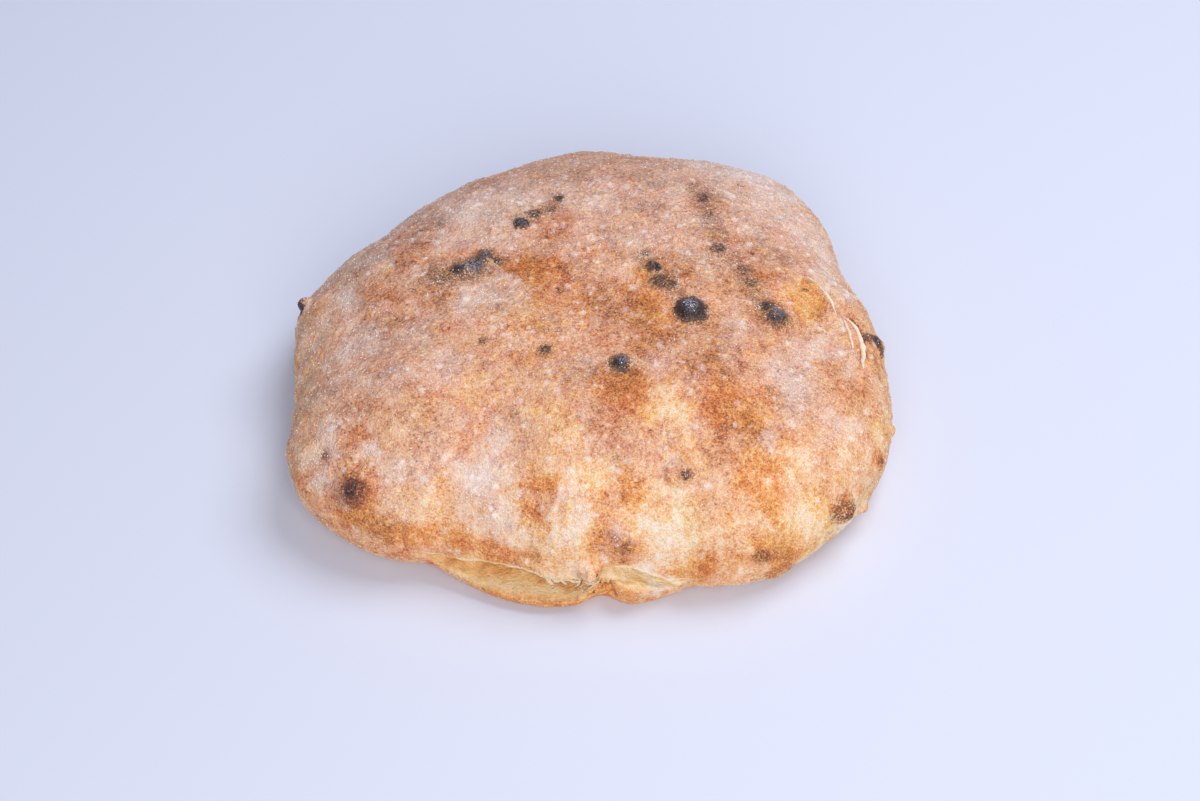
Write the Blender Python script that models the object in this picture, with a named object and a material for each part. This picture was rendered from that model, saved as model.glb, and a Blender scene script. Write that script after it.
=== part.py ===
"""Lepinja: a puffed flatbread whose front edge has torn open, standing on its flat base.

Lengths are in millimetres and become metres where the mesh is made. The origin is the
middle of the loaf's box, on the plane that it rests on. +Z is up and the torn edge faces
-Y. Bearings are degrees about the crown's axis, from +X towards +Y.
"""
import bpy
import numpy as np
from mathutils import Vector, noise

MILLIMETRE = 0.001

# The dome
HEIGHT = 62.0
CROWN_AXIS = (0.0, 4.0)
CROWN_LEAN = (2.0, 8.0)  # how far the crown leans off that axis, to the right and back
CRUST_RUN = 0.72  # powers of the dome's cosine and sine: below 1 is fuller than an ellipse
CRUST_RISE = 0.92

# The whole edge, at even steps of bearing: its radius every 15 degrees, and every 30 degrees
# its height and how far the base lies inside it
EDGE_RADIUS = (110, 104, 108, 113, 108, 102, 102, 101, 100, 101, 105, 113,
               113, 116, 128, 124, 111, 105, 105, 109, 120, 124, 124, 117)
EDGE_HEIGHT = (27, 25, 20, 18, 14, 13, 20, 22, 16, 15, 15, 20)
UNDERCUT = (12, 12, 14, 14, 14, 14, 14, 20, 20, 12, 12, 14)
SIDE_BAND = 2.0  # height of the plain band at the edge, where nothing is torn

# The torn stretch of the edge, at stations along it: the crust's lip above the gap, and the
# tongue of the bottom crust below it. The last four stations are the lobe of dough that
# pushed out beside the mouth.
TEAR_BEARING = (234, 241, 248, 256, 262, 267, 272, 277, 281, 286, 292)
LIP_RADIUS = (113, 108, 105, 105.5, 107, 106, 104, 105, 107, 110, 112)
LIP_HEIGHT = (15, 13, 14, 15.5, 15, 14, 16, 17, 14.5, 11, 12)
TONGUE_RADIUS = (112, 110.5, 111, 111.5, 111, 109, 106, 111, 111, 110.5, 112)
TEAR_GAP = (2, 4, 8, 9.5, 9.5, 8.5, 4, 5, 4.5, 3, 2)
TEAR_DEPTH = (0, 8, 20, 26, 24, 12, 5, 9, 9, 4, 0)
TONGUE_CUT = (14, 8, 6, 5, 5, 5, 4, 4, 4, 6, 12)
TEAR_FADE = 6.0  # degrees of bearing over which the tear grows out of the plain edge
TEAR_FULLNESS = 0.6  # power of the gap's inward curve: below 1 is rounder

# Relief, each at a point on the crust: x, y, z, radius, height
SWELLINGS = (
    (91, 54, 42, 24, 1.0),  # right shoulder, at the back
    (-94, 28, 36, 20, -2.5),  # the hollow above the shelf, left at the back
    (-104, 10, 34, 16, 2.5),  # the shelf itself
    (-80, 48, 18, 18, 3.0),  # the low lobe behind it
    (-45, 50, 56, 38, 1.5),
    (55, -56, 54, 40, 1.5),
    (20, 62, 58, 34, 1.2),
    (-60, -46, 54, 34, 1.2),
    (0, -14, 61, 36, -1.5),
)
BLISTERS = (
    (-47.5, 12, 60, 4.5, 2.2),
    (-43.5, 13.5, 60.5, 4.5, 2.6),
    (-39, 17, 61, 5, 2.8),
    (-25, 35.5, 60.5, 4, 1.8),
    (24, 10, 61.5, 4, 1.5),
    (19.5, 6, 62, 4, 1.6),
    (70, -13, 57, 8, 2.6),
    (11.5, -38, 60, 5, 2.4),
    (-16, -31.5, 60, 4, 1.2),
    (33.5, -81, 47.5, 7, 1.8),
    (-86.5, -77.5, 37, 11, 2.8),
    (93, -79, 21.5, 8, 3.4),
    (-1.5, -101, 17.5, 6.5, 4.4),  # the nub that hangs over the mouth
    (11.5, -98.5, 27, 9, 2.0),
    (39, -104, 16, 9, 3.0),
    (61, -100, 22.5, 7, 2.2),
    (108.5, -8, 35, 7, 2.4),
    (111, -43, 26, 4, 1.6),
    (106.5, -59, 25.5, 5, 1.6),
    (101, -69, 12, 4, 2.2),
    (49, -104, 3, 7, -4.0),  # the rim lifted off the plate, right of the lobe
    (69, -98, 5, 9, 1.8),
)
FULL_BLISTERS = (  # round as half a ball, where the ones above swell softly
    (38, -13, 61.5, 5.6, 3.2),
    (-107, 16.5, 37, 3.4, 3.4),
    (24, 9, 61.5, 2.6, 1.4),
)
FULL_BLISTER_ROUNDNESS = 0.7  # power of its fall to the foot: a half is half a ball
BURST_BLISTERS = (  # x, y, z, radius and rise of the ring, radius and depth of the pit
    (31.5, -81, 47, 4.4, 1.1, 1.8, 1.6),
    (-60.5, -75.5, 44.7, 2.6, 0.6, 1.0, 0.6),
)
BURST_RING = 0.9

# The crust's gathers on the front slope and its pleats on the left wall, as waves of bearing
GATHERS = {"middle": 268, "reach": 34, "step": 23, "from": 16, "to": 52, "rise": 1.3}
PLEATS = {"middle": 190, "reach": 34, "step": 7.5, "from": 10, "to": 46, "rise": 0.7}
WAVE_FADE = (8.0, 10.0)  # over which they grow in at the bottom and die out at the top

# The flake that lifted along the right shoulder, as its torn line over the crust
FLAKE_LINE = ((86, 7, 53), (90, -1, 52), (94, -8.5, 50.5), (97, -22, 48), (101, -32, 45))
FLAKE_RISE = 2.0
FLAKE_WIDTH = 2.6
FLAKE_GROOVE = 2.2
GROOVE_OFFSET = (5.0, 1.0, -2.5)  # from the torn line to the groove beside it

# Creases, as depth, width and line: the pinch beside the tongue, and the fold under the
# right rim
CREASES = (
    (4.0, 2.0, ((3, -101, 14), (4.5, -102, 11), (5.5, -103.5, 7), (6, -104.5, 2))),
    (1.6, 1.3, ((56, -102, 12.5), (60, -101, 11.5), (64, -98.5, 10), (69, -96, 9))),
)

# The dough's own unevenness: rise and span of its waves, on the crust and on the torn inside
LUMPS = ((1.5, 42.0), (0.7, 17.0), (0.35, 7.0))
TORN_LUMPS = ((1.0, 5.0),)
RAGGED_LIP = {"middle": 267.0, "reach": 7.0, "depth": 1.4, "step": 1.3}
RELIEF_FADE = 4.0  # height over which the relief grows out of the base

# The base: it sags this far below the floor's plane, and is then cut flat there
BASE_SAG = 0.8
FLOOR_SLAB = (300.0, 300.0, 20.0)

# How finely the crust is laid out, and the triangles kept in the end
COLUMNS = 480
CRUST_ROWS = 90
TEAR_ROWS = 18
UNDER_ROWS = 9
BASE_ROWS = 6
KEPT_TRIANGLES = 10000
DOME_SAMPLES = 400

CRUST_COLOUR = (0.58, 0.30, 0.16, 1.0)


def smooth_step(x):
    x = np.clip(x, 0.0, 1.0)
    return x * x * (3.0 - 2.0 * x)


def round_the_edge(values, bearing):
    """A closed smooth curve through values at even steps of bearing."""
    values = np.asarray(values, float)
    place = (bearing % 360.0) / 360.0 * len(values)
    step = np.floor(place).astype(int)
    f = place - step
    a, b, c, d = (values[(step + k) % len(values)] for k in (-1, 0, 1, 2))
    bend = 2.0 * a - 5.0 * b + 4.0 * c - d
    return b + 0.5 * f * (c - a + f * (bend + f * (3.0 * (b - c) + d - a)))


def along_the_tear(values, bearing):
    """A smooth curve through the values at the tear's stations."""
    stations = np.asarray(TEAR_BEARING, float)
    values = np.asarray(values, float)
    slopes = np.gradient(values, stations)
    place = np.clip(bearing, stations[0], stations[-1])
    k = np.clip(np.searchsorted(stations, place) - 1, 0, len(stations) - 2)
    span = stations[k + 1] - stations[k]
    t = (place - stations[k]) / span
    start = (1.0 + 2.0 * t) * (1.0 - t) ** 2 * values[k] + t * (1.0 - t) ** 2 * span * slopes[k]
    end = t * t * (3.0 - 2.0 * t) * values[k + 1] - t * t * (1.0 - t) * span * slopes[k + 1]
    return start + end


def torn_share(bearing):
    """1 where the edge is torn open, 0 where it is whole."""
    opens = smooth_step((bearing - TEAR_BEARING[0]) / TEAR_FADE)
    return opens * smooth_step((TEAR_BEARING[-1] - bearing) / TEAR_FADE)


def edge_of_the_loaf(bearing):
    """Lip radius, lip height, tongue radius, gap, depth and undercut at each bearing."""
    radius = round_the_edge(EDGE_RADIUS, bearing)
    height = round_the_edge(EDGE_HEIGHT, bearing)
    cut = round_the_edge(UNDERCUT, bearing)
    torn = torn_share(bearing)

    def mixed(plain, values):
        return plain + (along_the_tear(values, bearing) - plain) * torn

    ragged = RAGGED_LIP["depth"] * bump(bearing - RAGGED_LIP["middle"], RAGGED_LIP["reach"])
    stations = np.zeros((len(bearing), 3))
    stations[:, 0] = bearing / RAGGED_LIP["step"]
    return (
        mixed(radius, LIP_RADIUS) + ragged * unevenness(stations, 1.0, 3.0),
        mixed(height, LIP_HEIGHT),
        mixed(radius, TONGUE_RADIUS),
        mixed(SIDE_BAND, TEAR_GAP),
        mixed(0.0, TEAR_DEPTH),
        mixed(cut, TONGUE_CUT),
    )


def dome_angles(count):
    """Angles down a mean dome, from beside the crown to the edge, evenly spaced along it."""
    fine = np.linspace(np.pi / 2.0, 0.0, DOME_SAMPLES)
    run = np.cos(fine) ** CRUST_RUN * np.mean(EDGE_RADIUS)
    rise = np.sin(fine) ** CRUST_RISE * (HEIGHT - np.mean(EDGE_HEIGHT))
    length = np.concatenate([[0.0], np.cumsum(np.hypot(np.diff(run), np.diff(rise)))])
    wanted = np.linspace(0.0, length[-1], count + 1)[1:]
    return np.interp(wanted, length, fine)


def loaf_rows(bearing):
    """Rings of points down the crust, through the tear and under the loaf to its base, and
    each point's share of the torn inside."""
    lip, lip_height, tongue, gap, depth, cut = edge_of_the_loaf(bearing)
    rings = []
    for angle in dome_angles(CRUST_ROWS):
        run = np.cos(angle) ** CRUST_RUN
        rise = np.sin(angle) ** CRUST_RISE
        rings.append((lip * run, lip_height + (HEIGHT - lip_height) * rise, 1.0 - run, 0.0))
    for v in np.linspace(0.0, 1.0, TEAR_ROWS + 2)[1:-1]:
        inward = depth * np.sin(np.pi * v) ** TEAR_FULLNESS
        turn = np.cos(np.pi * v)
        fall = 0.5 - 0.5 * np.sign(turn) * np.sqrt(abs(turn))
        rings.append((lip + (tongue - lip) * v - inward, lip_height - gap * fall, 0.0, 1.0))
    shelf = lip_height - gap
    for angle in np.linspace(0.0, np.pi / 2.0, UNDER_ROWS):
        run = tongue - cut * (1.0 - np.cos(angle))
        rings.append((run, shelf * (1.0 - np.sin(angle)), 0.0, 0.0))
    for t in np.linspace(1.0, 0.0, BASE_ROWS + 1)[1:-1]:
        rings.append(((tongue - cut) * t, np.full_like(lip, -BASE_SAG), 0.0, 0.0))

    turn = np.radians(bearing)
    points = np.empty((len(rings), len(bearing), 3))
    inside = np.empty(points.shape[:2])
    for row, torn, (radius, height, lean, share) in zip(points, inside, rings):
        row[:, 0] = CROWN_AXIS[0] + CROWN_LEAN[0] * lean + radius * np.cos(turn)
        row[:, 1] = CROWN_AXIS[1] + CROWN_LEAN[1] * lean + radius * np.sin(turn)
        row[:, 2] = height
        torn[:] = share * torn_share(bearing)
    return points, inside


def outward(points):
    """Unit normals of the rings of points."""
    down = np.gradient(points, axis=0)
    round_about = np.roll(points, -1, axis=1) - np.roll(points, 1, axis=1)
    normal = np.cross(down, round_about)
    return normal / np.maximum(np.linalg.norm(normal, axis=2, keepdims=True), 1e-9)


def bump(distance, radius, power=2.0):
    """1 at the middle of a round dome, falling to 0 at its radius."""
    return np.clip(1.0 - (distance / radius) ** 2, 0.0, 1.0) ** power


def wave(bearing, height, shape):
    """A run of folds side by side, over a stretch of bearing and a band of height."""
    off = bearing - shape["middle"]
    reach = bump(off, shape["reach"])
    band = smooth_step((height - shape["from"]) / WAVE_FADE[0])
    band = band * smooth_step((shape["to"] - height) / WAVE_FADE[1])
    return shape["rise"] * np.cos(2.0 * np.pi * off / shape["step"]) * reach * band


def line_distance(points, line):
    """How far each point is from a line of straight runs."""
    nearest = np.full(points.shape[:2], np.inf)
    for start, end in zip(line[:-1], line[1:]):
        run = end - start
        t = np.clip((points - start) @ run / (run @ run), 0.0, 1.0)
        nearest = np.minimum(nearest, np.linalg.norm(points - start - t[..., None] * run, axis=2))
    return nearest


def unevenness(points, span, shift=0.0):
    """Smooth noise of that span at each point, from about -1 to 1; shift picks another."""
    waves = [noise.noise(Vector(p)) for p in (points / span + shift).reshape(-1, 3)]
    return np.reshape(waves, points.shape[:-1])


def relief(points, bearing, inside):
    """How far the surface stands out from the smooth form, in millimetres."""
    out = np.zeros(points.shape[:2])
    for x, y, z, radius, height in SWELLINGS + BLISTERS:
        out += height * bump(np.linalg.norm(points - (x, y, z), axis=2), radius)
    for x, y, z, radius, height in FULL_BLISTERS:
        out += height * bump(np.linalg.norm(points - (x, y, z), axis=2), radius,
                             FULL_BLISTER_ROUNDNESS)
    out += wave(bearing[None, :], points[..., 2], GATHERS)
    out += wave(bearing[None, :], points[..., 2], PLEATS)
    line = np.array(FLAKE_LINE, float)
    out += FLAKE_RISE * np.exp(-((line_distance(points, line) / FLAKE_WIDTH) ** 2))
    beside = line_distance(points, line + np.array(GROOVE_OFFSET))
    out -= FLAKE_GROOVE * np.exp(-((beside / FLAKE_WIDTH) ** 2))
    for x, y, z, radius, rise, pit, depth in BURST_BLISTERS:
        away = np.linalg.norm(points - (x, y, z), axis=2)
        out += rise * np.exp(-(((away - radius) / BURST_RING) ** 2)) - depth * bump(away, pit)
    for depth, width, line in CREASES:
        out -= depth * np.exp(-((line_distance(points, np.array(line, float)) / width) ** 2))
    for rise, span in LUMPS:
        out += rise * unevenness(points, span)
    for rise, span in TORN_LUMPS:
        out += rise * unevenness(points, span, 2.0) * inside
    return out


def loaf_mesh(name):
    """The closed loaf, laid out in rings between the crown and the middle of the base."""
    bearing = np.arange(COLUMNS) * 360.0 / COLUMNS
    points, inside = loaf_rows(bearing)
    above_base = smooth_step(points[..., 2] / RELIEF_FADE)
    points = points + outward(points) * (relief(points, bearing, inside) * above_base)[..., None]

    rows = len(points)
    crown = points[0].mean(axis=0)
    base = points[-1].mean(axis=0)
    corners = np.vstack([points.reshape(-1, 3), crown, base]) * MILLIMETRE
    crown_index = rows * COLUMNS
    faces = []
    for i in range(COLUMNS):
        j = (i + 1) % COLUMNS
        faces.append((crown_index, i, j))
        last = (rows - 1) * COLUMNS
        faces.append((crown_index + 1, last + j, last + i))
        for k in range(rows - 1):
            upper = k * COLUMNS
            lower = upper + COLUMNS
            faces.append((upper + i, lower + i, lower + j, upper + j))
    mesh = bpy.data.meshes.new(name)
    mesh.from_pydata(corners.tolist(), [], faces)
    mesh.validate()
    mesh.shade_smooth()
    return mesh


def crust_material():
    material = bpy.data.materials.new("baked_crust")
    material.use_nodes = True
    shader = material.node_tree.nodes["Principled BSDF"]
    shader.inputs["Base Color"].default_value = CRUST_COLOUR
    shader.inputs["Roughness"].default_value = 0.85
    shader.inputs["Metallic"].default_value = 0.0
    return material


def add_object(name, mesh):
    thing = bpy.data.objects.new(name, mesh)
    bpy.context.scene.collection.objects.link(thing)
    return thing


def floor_cutter():
    """The slab that cuts the base flat."""
    half_x, half_y, depth = (side * MILLIMETRE for side in FLOOR_SLAB)
    xs, ys, zs = (-half_x, half_x), (-half_y, half_y), (-depth, 0.0)
    corners = [(x, y, z) for z in zs for y in ys for x in xs]
    faces = [(0, 2, 3, 1), (4, 5, 7, 6), (0, 1, 5, 4), (2, 6, 7, 3), (0, 4, 6, 2), (1, 3, 7, 5)]
    mesh = bpy.data.meshes.new("floor_cutter")
    mesh.from_pydata(corners, [], faces)
    cutter = add_object("floor_cutter", mesh)
    cutter.hide_render = True
    cutter.display_type = "WIRE"
    return cutter


def main():
    for thing in list(bpy.data.objects):
        bpy.data.objects.remove(thing, do_unlink=True)

    loaf = add_object("lepinja", loaf_mesh("lepinja"))
    loaf.data.materials.append(crust_material())
    laid_out = sum(len(face.vertices) - 2 for face in loaf.data.polygons)
    fewer = loaf.modifiers.new("fewer_faces", "DECIMATE")
    fewer.ratio = KEPT_TRIANGLES / laid_out
    flat = loaf.modifiers.new("flat_base", "BOOLEAN")
    flat.operation = "DIFFERENCE"
    flat.object = floor_cutter()


main()
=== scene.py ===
"""Looks of the lepinja: a floury, blistered, charred crust, torn open at its front edge.

Lengths are in millimetres and become metres where a mesh is made. The frame is the part's
own: the origin is under the loaf's middle, +Z is up and the torn edge faces -Y. Bearings
are degrees about the crown's axis, from +X towards +Y.
"""

import bmesh
import bpy
import numpy as np
from mathutils import Matrix, Vector, kdtree, noise


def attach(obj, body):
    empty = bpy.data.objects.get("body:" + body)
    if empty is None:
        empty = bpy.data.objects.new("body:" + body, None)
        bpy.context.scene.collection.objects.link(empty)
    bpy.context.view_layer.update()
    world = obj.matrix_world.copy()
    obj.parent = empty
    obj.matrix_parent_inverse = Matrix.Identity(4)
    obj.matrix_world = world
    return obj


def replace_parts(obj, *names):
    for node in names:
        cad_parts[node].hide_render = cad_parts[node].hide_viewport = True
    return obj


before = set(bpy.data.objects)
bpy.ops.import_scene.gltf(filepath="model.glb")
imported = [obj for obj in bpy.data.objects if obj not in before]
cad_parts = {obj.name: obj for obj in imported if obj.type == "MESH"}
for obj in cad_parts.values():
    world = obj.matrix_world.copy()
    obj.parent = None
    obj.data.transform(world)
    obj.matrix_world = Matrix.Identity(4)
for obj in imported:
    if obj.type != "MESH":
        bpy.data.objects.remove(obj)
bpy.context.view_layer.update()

MILLIMETRE = 0.001

# The loaf's form, as in the part's source. The edge's radius and height and the undercut are
# given at even steps of bearing, and the tear's values at the bearings of its stations.
HEIGHT = 62.0
CROWN_AXIS = (0.0, 4.0)
CROWN_LEAN = (2.0, 8.0)
CRUST_RUN = 0.72
CRUST_RISE = 0.92
EDGE_RADIUS = (110, 104, 108, 113, 108, 102, 102, 101, 100, 101, 105, 113,
               113, 116, 128, 124, 111, 105, 105, 109, 120, 124, 124, 117)
EDGE_HEIGHT = (27, 25, 20, 18, 14, 13, 20, 22, 16, 15, 15, 20)
UNDERCUT = (12, 12, 14, 14, 14, 14, 14, 20, 20, 12, 12, 14)
SIDE_BAND = 2.0
TEAR_BEARING = (234, 241, 248, 256, 262, 267, 272, 277, 281, 286, 292)
LIP_RADIUS = (113, 108, 105, 105.5, 107, 106, 104, 105, 107, 110, 112)
LIP_HEIGHT = (15, 13, 14, 15.5, 15, 14, 16, 17, 14.5, 11, 12)
TONGUE_RADIUS = (112, 110.5, 111, 111.5, 111, 109, 106, 111, 111, 110.5, 112)
TEAR_GAP = (2, 4, 8, 9.5, 9.5, 8.5, 4, 5, 4.5, 3, 2)
TEAR_DEPTH = (0, 8, 20, 26, 24, 12, 5, 9, 9, 4, 0)
TONGUE_CUT = (14, 8, 6, 5, 5, 5, 4, 4, 4, 6, 12)
TEAR_FADE = 6.0
TEAR_FULLNESS = 0.6
# Broad swellings, then blisters: x, y, z, radius, and rise or, below 0, the depth of a dent
SWELLINGS = (
    (91, 54, 42, 24, 1), (-94, 28, 36, 20, -2.5), (-104, 10, 34, 16, 2.5), (-80, 48, 18, 18, 3),
    (-45, 50, 56, 38, 1.5), (55, -56, 54, 40, 1.5), (20, 62, 58, 34, 1.2), (-60, -46, 54, 34, 1.2),
    (0, -14, 61, 36, -1.5),
)
BLISTERS = (
    (-47.5, 12, 60, 4.5, 2.2), (-43.5, 13.5, 60.5, 4.5, 2.6), (-39, 17, 61, 5, 2.8),
    (-25, 35.5, 60.5, 4, 1.8), (24, 10, 61.5, 4, 1.5), (19.5, 6, 62, 4, 1.6), (70, -13, 57, 8, 2.6),
    (11.5, -38, 60, 5, 2.4), (-16, -31.5, 60, 4, 1.2), (33.5, -81, 47.5, 7, 1.8),
    (-86.5, -77.5, 37, 11, 2.8), (93, -79, 21.5, 8, 3.4), (-1.5, -101, 17.5, 6.5, 4.4),
    (11.5, -98.5, 27, 9, 2), (39, -104, 16, 9, 3), (61, -100, 22.5, 7, 2.2), (108.5, -8, 35, 7, 2.4),
    (111, -43, 26, 4, 1.6), (106.5, -59, 25.5, 5, 1.6), (101, -69, 12, 4, 2.2), (49, -104, 3, 7, -4),
    (69, -98, 5, 9, 1.8),
)
# Blisters that stayed full, and so have steeper sides
FULL_BLISTERS = (
    (38, -13, 61.5, 5.6, 3.2), (-107, 16.5, 37, 3.4, 3.4), (24, 9, 61.5, 2.6, 1.4),
    (-1.5, -101.5, 18, 4.2, 2),
)
FULL_BLISTER_ROUNDNESS = 0.7
# Blisters that burst: x, y, z, radius and rise of the ring, radius and depth of the pit
BURST_BLISTERS = (
    (31.5, -81, 47, 4.4, 1.1, 1.8, 1.6), (-60.5, -75.5, 44.7, 2.6, 0.6, 1, 0.6),
    (-87, -68.5, 43, 1.7, 0.7, 0.9, 0.8), (-106, -58, 37, 1.9, 0.7, 1, 0.5),
    (-2, 21, 61, 2.4, 0.4, 1.6, 1.2), (-22.5, -98.5, 24, 4, 0.7, 2.6, 0.3),
)
BURST_RING = 0.9
# Folds side by side, by bearing and height: those gathered above the tear, and the pleats at
# the left, and how they fade below and above
GATHERS = {"middle": 268, "reach": 34, "step": 23, "from": 16, "to": 52, "rise": 1.3}
PLEATS = {"middle": 190, "reach": 34, "step": 7.5, "from": 10, "to": 46, "rise": 0.7}
WAVE_FADE = (8.0, 10.0)
# The flake that lifted on the right shoulder, and the groove beside its line
FLAKE_LINE = ((86, 7, 53), (90, -1, 52), (94, -8.5, 50.5), (97, -22, 48), (101, -32, 45))
FLAKE_RISE = 2.0
FLAKE_WIDTH = 2.6
FLAKE_GROOVE = 2.2
GROOVE_OFFSET = (5.0, 1.0, -2.5)
# Two cracks that are darkened as well, by painted shade in them and a little scorch: in the
# tongue's rim, and beside the lifted flake
TONGUE_CRACK = ((0.6, -103, 7.5), (0.3, -104, 5), (0.2, -104, 2))
SHOULDER_CRACK = ((98.5, -2.5, 45.5), (101.5, -6, 44), (103.5, -12, 43), (104, -20, 42.5))
# Creases: depth, width, line. The pinch beside the tongue, the fold over the small lobe,
# the crack in the tongue's rim, the fold under the right rim, two left-hand puckers, and the
# two cracks beside the lifted flake
CREASES = (
    (4, 2, ((3, -101, 14), (4.5, -102, 11), (5.5, -103.5, 7), (6, -104.5, 2))),
    (1.4, 0.9, ((6, -101, 13), (10, -101.5, 12.5), (16, -102.5, 12.5))),
    (1.6, 0.6, TONGUE_CRACK),
    (1.6, 1.3, ((56, -102, 12.5), (60, -101, 11.5), (64, -98.5, 10), (69, -96, 9))),
    (0.8, 1, ((-69, -88.5, 27), (-69.5, -89.5, 23), (-68.5, -90, 18))),
    (0.6, 1, ((-55, -89, 24), (-53.5, -90, 19))),
    (0.7, 0.8, ((90, 4, 52), (92, -1, 51.5), (93.5, -7, 50.5))),
    (1.2, 0.9, SHOULDER_CRACK),
)
# Lumps of the torn inside and of the whole crust: rise and span
TORN_LUMPS = ((1.0, 5.0), (0.55, 2.6))
LUMPS = ((1.5, 42.0), (0.7, 17.0), (0.35, 7.0))
RELIEF_FADE = 4.0
# How the lip is frayed over the middle of the tear: bearings, depth and step between shreds
RAGGED_LIP = {"middle": 267.0, "reach": 7.0, "depth": 1.4, "step": 1.3}

# How far each noise is shifted, so that no two have the same pattern
SHIFT = {"torn": 2.0, "lip": 3.0, "patchy": 5.5, "strip": 5.0}
RAG_SHIFTS = (11.3, 37.7, 71.9)
STRIP_SHIFTS = (0, 20, 40)

# The fine surface that only the looks have: rise and span of the pebbled skin, and the
# small pimples that steam raised: how many, their radius and height, and the power that
# strews them over the rings, below 1 because the outer rings are longer
PEBBLES = ((0.22, 3.2), (0.16, 1.7))
PIMPLES = 3600
PIMPLE_RADIUS = (0.7, 2.1)
PIMPLE_HEIGHT = (0.08, 0.5)
PIMPLE_SPREAD = 0.6
PIMPLE_SEED = 11
WHITE_PIMPLES = 4  # one pimple in so many is white on top, as flour and as a painted highlight, and the rest stay golden

# Angles at which the crust's last rows turn into torn crumb, and at which the tongue's rim
# starts to brown, each with the angle that the change takes, in radians
LIP_TURN = (0.026, 0.012)
RIM_TURN = (-0.30, 0.40)
# Bearings from which the rim is browned and then browned less, with the change's width
RIM_BROWNS = (240.0, 12.0)
RIM_PALES = (276.0, 4.0)
RIM_LOSS = 0.75

# How finely the loaf is laid out, and the triangles kept in the end
DOME_STEPS = 1600
COLUMNS = 960
CRUST_ROWS = 190
TEAR_ROWS = 44
UNDER_ROWS = 20
BASE_ROWS = 24
KEPT_TRIANGLES = 194000

# Where the oven toasted the crust: x, y, z, radius, strength. The patches low on the left
# front, from (-100, -75) round to (-58, -92), also paint shade on the side away from the light,
# and the two at (0, -105, 17.5) and (-4, -104, 17.5) paint shade on the nub's lower side
TOASTED_AND_SHADED = (
    (14, -17, 60, 18, 0.26), (28, -21, 61, 12, 0.1), (4, -6, 61, 11, 0.35), (26, -16, 61, 7, 0.12),
    (31, 4, 62, 10, 0.45), (-12, 5, 62, 9, 0.5), (-17, 13, 61, 9, 0.5), (-27, 11, 61, 9, 0.42),
    (-10, 10, 62, 8, 0.45), (-46, 20, 60, 9, 0.45), (-34, 20, 60, 6, 0.35), (-5, 26, 61, 7, 0.3),
    (12, -48, 58, 10, 0.95), (-14, 0, 61, 14, 0.25), (9, -62, 54, 9, 0.4), (23, -58, 56, 8, 0.4),
    (51, -54, 57, 13, 0.42), (40, -58, 57, 8, 0.35), (48, -43, 60, 8, 0.25), (54, -70, 52, 9, 0.2),
    (67, -50, 54, 7, 0.22), (41, -31, 60, 14, 0.15), (69, 12, 57, 10, 0.28), (46, 49, 60, 10, 0.45),
    (50, 30, 59, 8, 0.4), (56, 27, 58.5, 7, 0.5), (58, 12, 59, 9, 0.45), (66, -18, 58, 9, 0.4),
    (104, -41, 40.5, 7, 0.4), (-12, 29, 61, 9, 0.45), (-82, -52, 52, 10, 0.3), (-89, -58, 47, 8, 0.35),
    (-97, -67, 38, 6, 0.65), (-107, -61, 33, 7, 0.35), (-103, -70, 28, 8, 0.45), (-94, -78, 27, 11, 0.4),
    (-100, -75, 16, 9, 0.45), (-88, -84, 16, 9, 0.42), (-72, -90, 15, 9, 0.42), (-58, -92, 13, 7, 0.42),
    (-84, -82, 29, 12, 0.4), (-74, -88, 25, 10, 0.38), (-62, -90, 24, 9, 0.38), (-18, -76, 48, 6, 0.25),
    (-16, -85, 43, 7, 0.4), (-19, -92, 36, 5, 0.3), (-46, -92, 20, 8, 0.75), (-33, -96, 21, 7, 0.75),
    (-22, -98, 22, 7, 0.6), (14, -86, 42, 7, 0.25), (11.5, -99, 27, 8, 0.55), (7, -95, 35, 6, 0.4),
    (39.5, -104, 16.5, 8, 0.8), (14.5, -101.5, 9.8, 3, 0.25), (62, -100, 24, 9, 0.85),
    (72, -95, 16, 8, 0.6), (67, -97, 8, 7, 0.65), (0, -105, 17.5, 3.6, 1), (-4, -104, 17.5, 3, 0.9),
    (8, -97, 30, 8, 0.45), (-41, -93, 15, 5, 0.6), (-21, -105, 6.5, 6, 0.35), (92.6, -81, 23.8, 8, 1),
    (72, -96, 20, 9, 0.35), (50, -103, 20, 8, 0.3), (-86, -78, 37, 10, 0.8), (108, -12, 39, 7, 0.6),
    (105, -22, 41, 6, 0.5), (99, -44, 44, 7, 0.25), (107, -59, 28, 6, 0.5), (-65, 41, 53, 15, 0.4),
    (-66, 23, 56, 12, 0.5), (-78, 10, 54, 12, 0.35), (-89, -2, 50, 7, 0.4), (-70, -10, 56, 11, 0.35),
    (-56, 2, 58, 10, 0.35), (1, 75, 54, 22, 0.2), (-22, 76, 51, 17, 0.2), (21, 69, 57, 17, 0.25),
    (-42, 66, 53, 13, 0.35), (17, 42, 61, 12, 0.2), (-12, 38, 60, 9, 0.5),
)

# Where the crust is golden, and hardly floured
GOLDEN = (
    (14, -49, 57, 10, 0.7), (25, -60, 55, 7, 0.5), (82, 0, 53, 10, 0.8), (52, -57, 57, 12, 0.4),
    (-21, 10, 61, 12, 0.65), (62, -80, 45, 12, 0.6), (66, -87, 38, 9, 0.5), (13, -85, 42, 8, 0.5),
    (39.5, -104, 17, 9, 1), (68, -97, 19, 10, 1), (60, -100, 26, 7, 0.8), (-48, -92, 21, 9, 0.8),
    (-62, -90, 24, 7, 0.5), (-34, -95, 20, 8, 0.6), (-16, -82, 44, 7, 0.7), (93, -80, 24, 7, 0.9),
    (-85, -82, 30, 9, 0.4), (-72, -88, 24, 9, 0.3), (22, -12, 61, 12, 0.4), (22, 6, 62, 6, 0.8),
    (56, 38, 57, 7, 0.3), (78, 34, 50, 7, 0.3), (16, -102, 12, 5, 0.9), (84, -86, 20, 10, 0.4),
    (80, -93, 16, 8, 0.6),
)

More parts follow.
